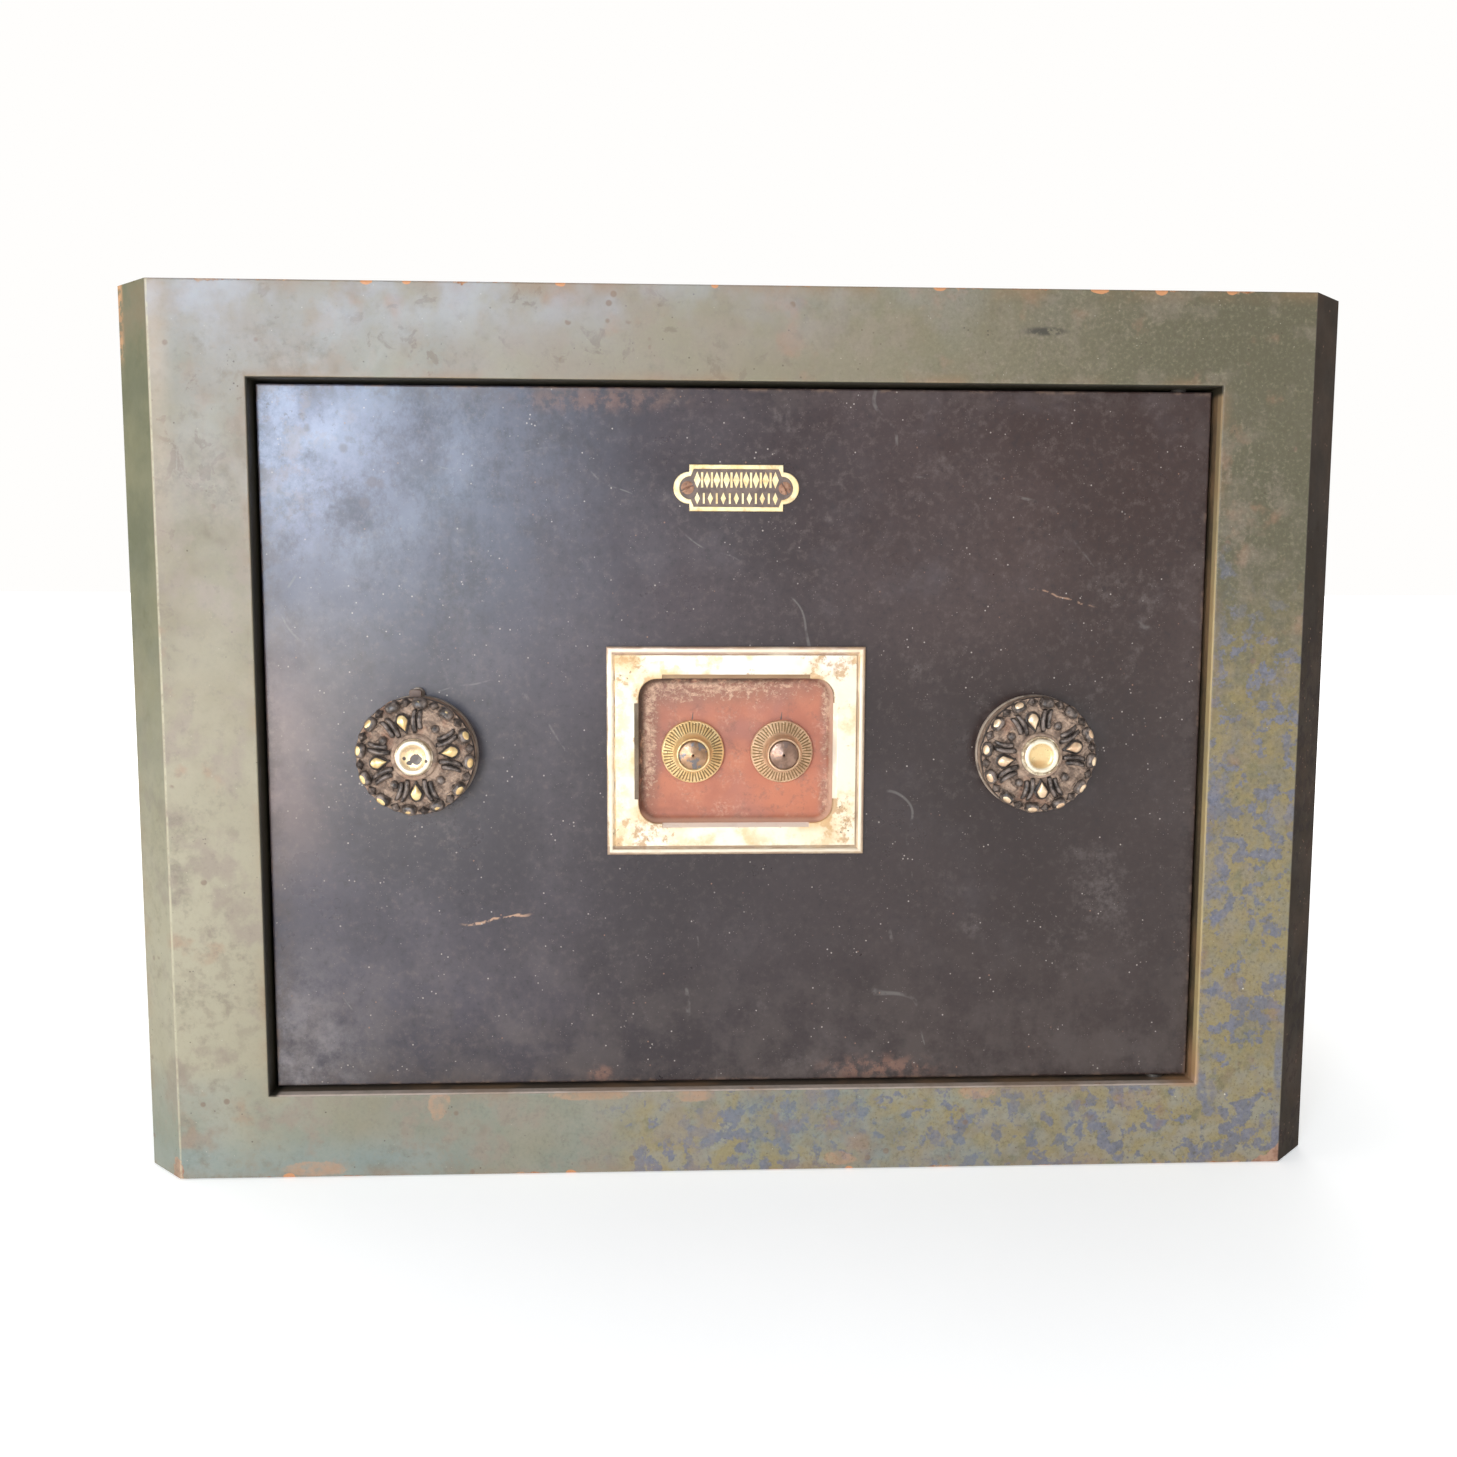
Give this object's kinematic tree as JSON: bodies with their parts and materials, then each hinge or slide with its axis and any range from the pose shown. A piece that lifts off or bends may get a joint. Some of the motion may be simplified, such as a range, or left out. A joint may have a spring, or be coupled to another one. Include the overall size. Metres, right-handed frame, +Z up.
{
  "type": "wall safe",
  "caption": "Wall safe with a bevelled front frame, right-hung pivoted door, twin combination dials, swinging keyhole rosette and a rosette knob throwing round bolts both ways.",
  "frame": {"origin": "middle of the underside, half way back", "axes": "+X to the right seen from the front, +Y into the wall, +Z up; the door faces -Y"},
  "size_m": [0.73, 0.3401, 0.47],
  "materials": {
    "frame_paint": "worn gloss oil paint over steel, grey-green, with rust at the edges",
    "casing_paint": "dull dark grey-green paint",
    "door_paint": "worn near-black paint, semi-gloss",
    "lining_paint": "matt stone-coloured paint",
    "bare_steel": "machined steel, oiled",
    "dark_steel": "blackened steel",
    "mineral_fill": "dry mineral filling",
    "bright_escutcheon": "worn bright plating with rust freckles",
    "red_paint": "red-brown primer, scuffed",
    "brass": "aged brass",
    "dull_brass": "darkened brass",
    "copper_button": "tarnished copper colour",
    "black_iron": "cast iron, black with brown dirt and gilt-worn high points",
    "rusty_screw": "rusted steel"
  },
  "bodies": {
    "safe_body": {"front_frame": "frame_paint", "frame_angles": "dark_steel", "outer_casing": "casing_paint", "casing_rivets": "casing_paint", "inner_lining": "lining_paint", "fireproof_fill": "mineral_fill", "back_plate": "casing_paint", "back_plate_screws": "rusty_screw", "right_strike_bar": "bare_steel", "left_strike_bar": "bare_steel", "jamb_rails": "bare_steel", "door_stop_strip": "frame_paint", "shelf": "lining_paint", "shelf_rails": "lining_paint", "anchor_lugs": "dark_steel", "pivot_pins": "bare_steel", "pivot_washer": "brass"},
    "door": {"door_plate": "door_paint", "door_pan": "lining_paint", "back_cover": "lining_paint", "cover_screws": "bare_steel", "escutcheon_frame": "bright_escutcheon", "dial_pan": "red_paint", "nameplate": "brass", "nameplate_screws": "rusty_screw", "keyhole_ring": "black_iron", "keyhole_plate": "brass", "cover_pivot_pin": "bare_steel", "knob_base_ring": "black_iron", "bolt_guides": "brass", "spindle_bushes": "brass", "arm_guides": "dark_steel", "lock_case": "dark_steel", "lock_case_cover": "brass", "lock_case_screws": "bare_steel", "lever_post": "bare_steel"},
    "left_boltwork": {"left_bolts": "bare_steel", "left_bolt_bar": "dark_steel", "left_arm": "bare_steel"},
    "right_boltwork": {"right_bolts": "bare_steel", "right_bolt_bar": "dark_steel", "right_arm": "bare_steel"},
    "bolt_knob": {"knob_rosette": "black_iron", "knob_cap": "dull_brass", "knob_spindle": "bare_steel", "knob_pinion": "bare_steel"},
    "left_dial_set": {"left_dial": "brass", "left_dial_button": "copper_button", "left_dial_spindle": "bare_steel", "left_gate_wheel": "brass"},
    "right_dial_set": {"right_dial": "dull_brass", "right_dial_button": "copper_button", "right_dial_spindle": "bare_steel", "right_gate_wheel": "brass"},
    "keyhole_cover": {"cover_rosette": "black_iron", "cover_cap": "dull_brass"},
    "key_lock_bolt": {"lock_bolt": "bare_steel"},
    "lever_pack": {"lock_levers": "brass", "lever_springs": "bare_steel"}
  },
  "joints": [
    {"name": "door_hinge", "type": "hinge", "parent": "safe_body", "child": "door", "pos_m": [0.2325, -0.149, 0.234], "axis": [0, 0, 1], "range_deg": [0, 110]},
    {"name": "knob_turn", "type": "hinge", "parent": "door", "child": "bolt_knob", "pos_m": [0.1575, -0.165, 0.2275], "axis": [0, 1, 0], "range_deg": [0, 90]},
    {"name": "left_bolts_throw", "type": "slide", "parent": "door", "child": "left_boltwork", "axis": [-1, 0, 0], "range_m": [0, 0.0212]},
    {"name": "right_bolts_throw", "type": "slide", "parent": "door", "child": "right_boltwork", "axis": [1, 0, 0], "range_m": [0, 0.0213]},
    {"name": "left_dial_turn", "type": "hinge", "parent": "door", "child": "left_dial_set", "pos_m": [-0.0249, -0.155, 0.2275], "axis": [0, 1, 0], "continuous": true},
    {"name": "right_dial_turn", "type": "hinge", "parent": "door", "child": "right_dial_set", "pos_m": [0.0228, -0.155, 0.2275], "axis": [0, 1, 0], "continuous": true},
    {"name": "keyhole_cover_swing", "type": "hinge", "parent": "door", "child": "keyhole_cover", "pos_m": [-0.169, -0.16, 0.2591], "axis": [0, 1, 0], "range_deg": [-95, 95]},
    {"name": "key_lock_throw", "type": "slide", "parent": "door", "child": "key_lock_bolt", "axis": [0, 0, -1], "range_m": [0, 0.008]},
    {"name": "lever_lift", "type": "hinge", "parent": "door", "child": "lever_pack", "pos_m": [-0.169, -0.131, 0.2795], "axis": [0, 1, 0], "range_deg": [-5, 0], "stiffness_Nm_per_rad": 0.05}
  ],
  "couplings": [
    {"joint": "knob_turn", "follows": "left_bolts_throw", "rad_per_m": 74.074},
    {"joint": "right_bolts_throw", "follows": "left_bolts_throw", "ratio": 1}
  ]
}
